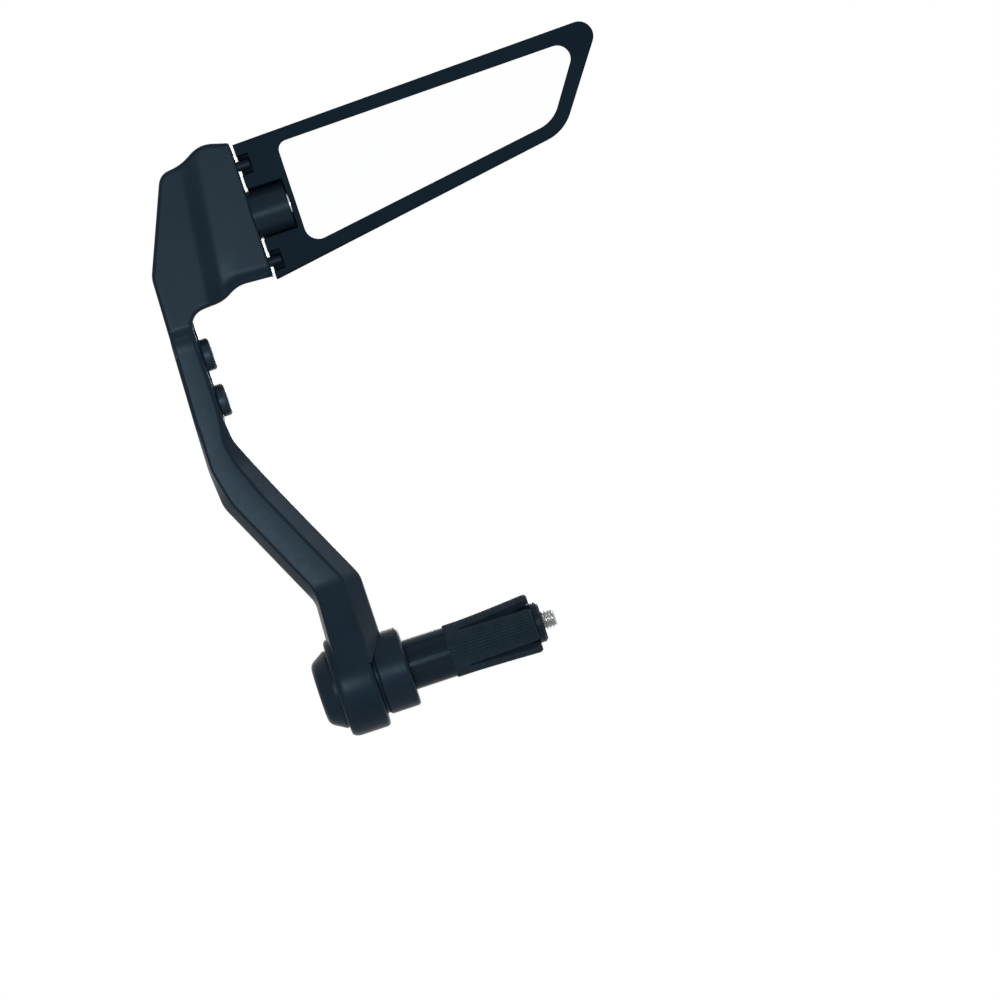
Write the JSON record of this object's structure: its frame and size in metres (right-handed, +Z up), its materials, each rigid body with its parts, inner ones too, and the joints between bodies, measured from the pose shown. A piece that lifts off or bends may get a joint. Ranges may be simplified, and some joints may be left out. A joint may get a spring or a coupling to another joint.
{
  "type": "motorcycle bar-end mirror",
  "caption": "Wing-shaped motorcycle mirror on a dog-leg arm, with a tilting glass housing and an expanding insert that clamps inside the end of a handlebar.",
  "frame": {"origin": "on the handlebar axis, at the collar face that the end of the bar butts on", "axes": "+X along the handlebar into its tube, +Z up, glass facing -Y"},
  "size_m": [0.1583, 0.0324, 0.1918],
  "materials": {
    "arm_black": "fine matte black powder coat",
    "wing_black": "fine matte black powder coat",
    "collar_black": "matte black anodised",
    "spacer_black": "semi-gloss black",
    "sleeve_rubber": "matte, fine lengthwise ribs",
    "zinc_steel": "bright zinc plate",
    "black_steel": "black oxide",
    "nylon": "plain",
    "seal_rubber": "plain",
    "tape_foam": "foam tape",
    "mirror_silver": "silvered glass"
  },
  "bodies": {
    "bar_end_insert": {"expander_sleeve": "sleeve_rubber", "wedge_nut": "black_steel", "spacer_tube": "spacer_black", "bar_collar": "collar_black", "bar_end_screw": "zinc_steel", "hub_friction_ring": "nylon", "hub_wave_washer": "zinc_steel", "head_washer": "zinc_steel"},
    "mirror_arm": {"lower_arm": "arm_black", "upper_arm": "arm_black", "arm_screws": "black_steel", "stop_pins": "black_steel", "end_cap": "collar_black", "cap_ring": "seal_rubber", "pivot_barrel": "black_steel", "pivot_screw": "zinc_steel", "pivot_washer": "zinc_steel", "pivot_wave_washer": "zinc_steel"},
    "mirror_wing": {"mirror_housing": "wing_black", "mirror_glass": "mirror_silver", "glass_tape": "tape_foam", "pivot_bush": "nylon", "pivot_friction_washer": "zinc_steel"}
  },
  "joints": [
    {"name": "arm_swing", "type": "hinge", "parent": "bar_end_insert", "child": "mirror_arm", "pos_m": [-0.0156, 0, 0], "axis": [1, 0, 0], "continuous": true},
    {"name": "wing_tilt", "type": "hinge", "parent": "mirror_arm", "child": "mirror_wing", "pos_m": [0.0045, 0, 0.1498], "axis": [1, 0, 0], "range_deg": [-15, 15]}
  ]
}
